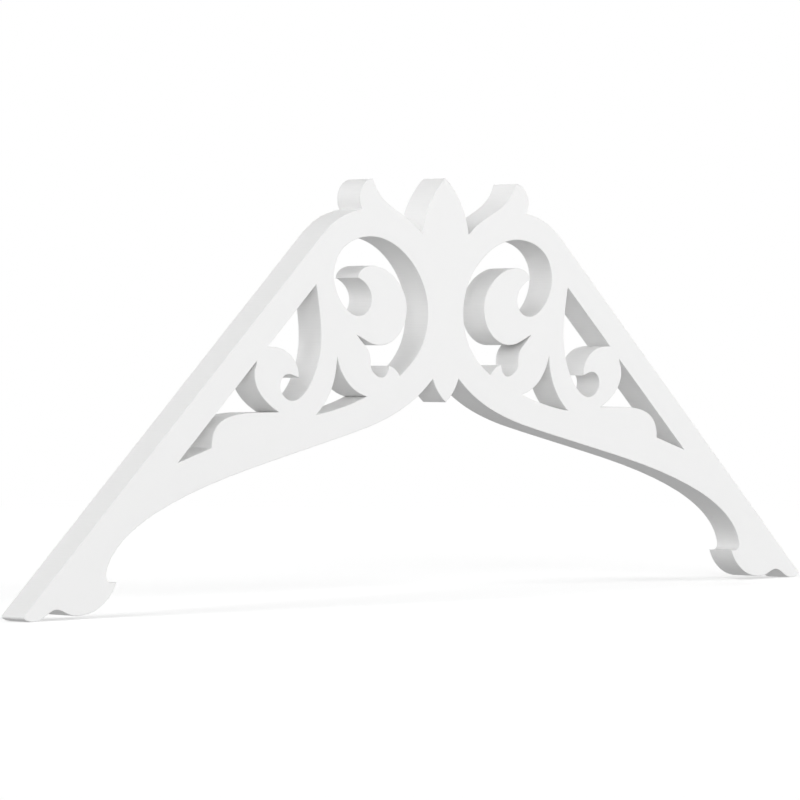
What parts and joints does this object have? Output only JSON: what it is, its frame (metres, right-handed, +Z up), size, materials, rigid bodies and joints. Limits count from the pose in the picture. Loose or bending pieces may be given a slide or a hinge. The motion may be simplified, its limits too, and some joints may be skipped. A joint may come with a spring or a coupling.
{
  "type": "gable pediment",
  "caption": "Flat triangular gable pediment, scroll-cut through, with a pointed leaf at the peak and an open arch below; fixed under the two slopes of a gable roof.",
  "frame": {"origin": "on the centreline of the panel, halfway through its thickness, level with the lowest points of the two eave ends", "axes": "+X to the right along the foot of the gable seen from the front, +Y through the panel towards the wall behind, +Z up"},
  "size_m": [0.9144, 0.0254, 0.3412],
  "materials": {
    "panel": "smooth matt white expanded PVC, cut edges slightly rougher"
  },
  "bodies": {
    "root": {"pediment_panel": "panel"}
  },
  "joints": []
}
